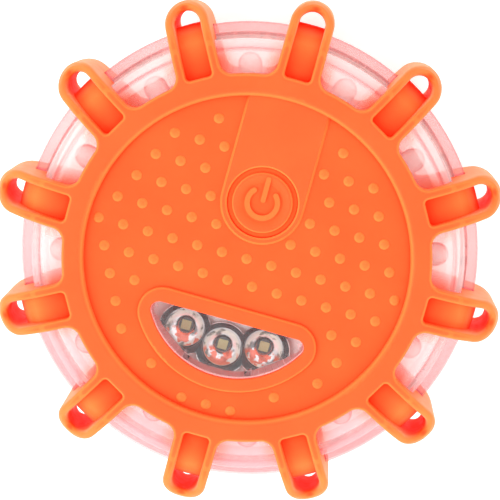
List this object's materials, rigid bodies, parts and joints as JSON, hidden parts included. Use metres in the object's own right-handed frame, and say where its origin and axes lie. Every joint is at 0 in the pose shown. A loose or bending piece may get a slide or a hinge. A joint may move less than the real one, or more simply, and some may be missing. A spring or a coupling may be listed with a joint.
{
  "type": "led safety flare",
  "caption": "Round LED road flare: clear lamp disc in an orange rubber sleeve with looped arms round the rim, push button, lamp window, rear magnet and wire bail.",
  "frame": {"origin": "centre of the disc at the plane of the rear rubber ring, on which the flare rests", "axes": "+Z out of the front face along the disc's axis, +Y from the lamp window towards the power button"},
  "size_m": [0.1044, 0.1044, 0.034],
  "materials": {
    "orange_rubber": "satin moulded thermoplastic rubber",
    "orange_rubber_button": "satin moulded thermoplastic rubber",
    "clear_plastic": "clear polished polycarbonate",
    "silicone": "translucent silicone",
    "steel": "zinc plated",
    "chrome_plating": "vacuum metallised",
    "white_plastic": "fine matt moulding",
    "led_ceramic": "matt",
    "led_phosphor": "satin",
    "led_epoxy": "clear epoxy",
    "tinned_wire": "tinned",
    "circuit_board": "white solder mask",
    "black_plastic": "matt",
    "can_aluminium": "satin",
    "cell_jacket": "glossy printed sleeve, plain",
    "nickel": "nickel plated",
    "magnet_nickel": "nickel plated, slightly dull",
    "red_insulation": "satin",
    "black_insulation": "satin",
    "bail_wire": "drawn stainless wire"
  },
  "bodies": {
    "root": {"rubber_sleeve": "orange_rubber", "front_shell": "clear_plastic", "rear_shell": "clear_plastic", "shell_seal": "silicone", "case_screws": "steel", "lamp_reflector": "chrome_plating", "reflector_holder": "white_plastic", "lamp_packages": "led_ceramic", "lamp_phosphors": "led_phosphor", "warning_leds": "led_epoxy", "warning_led_leads": "tinned_wire", "main_board": "circuit_board", "board_screws": "steel", "switch_body": "black_plastic", "controller_chip": "black_plastic", "driver_transistors": "black_plastic", "chip_resistors": "black_plastic", "capacitor": "can_aluminium", "battery_holder": "white_plastic", "battery_cells": "cell_jacket", "contact_plates": "nickel", "contact_springs": "nickel", "battery_lead_red": "red_insulation", "battery_lead_black": "black_insulation", "door_seal": "silicone"},
    "power_button": {"power_button": "orange_rubber_button", "switch_plunger": "black_plastic"},
    "battery_door": {"battery_door": "white_plastic", "door_screws": "steel", "magnet_cup": "nickel", "magnet": "magnet_nickel"},
    "hanging_bail": {"hanging_bail": "bail_wire"}
  },
  "joints": [
    {"name": "button_press", "type": "slide", "parent": "root", "child": "power_button", "axis": [0, 0, -1], "range_m": [0, 0.0005], "stiffness_N_per_m": 1500, "springref_m": -0.001},
    {"name": "door_lift", "type": "slide", "parent": "root", "child": "battery_door", "axis": [0, 0, -1], "range_m": [0, 0.025]},
    {"name": "bail_swing", "type": "hinge", "parent": "root", "child": "hanging_bail", "pos_m": [0, 0.014, 0.0015], "axis": [1, 0, 0], "range_deg": [0, 150]}
  ]
}
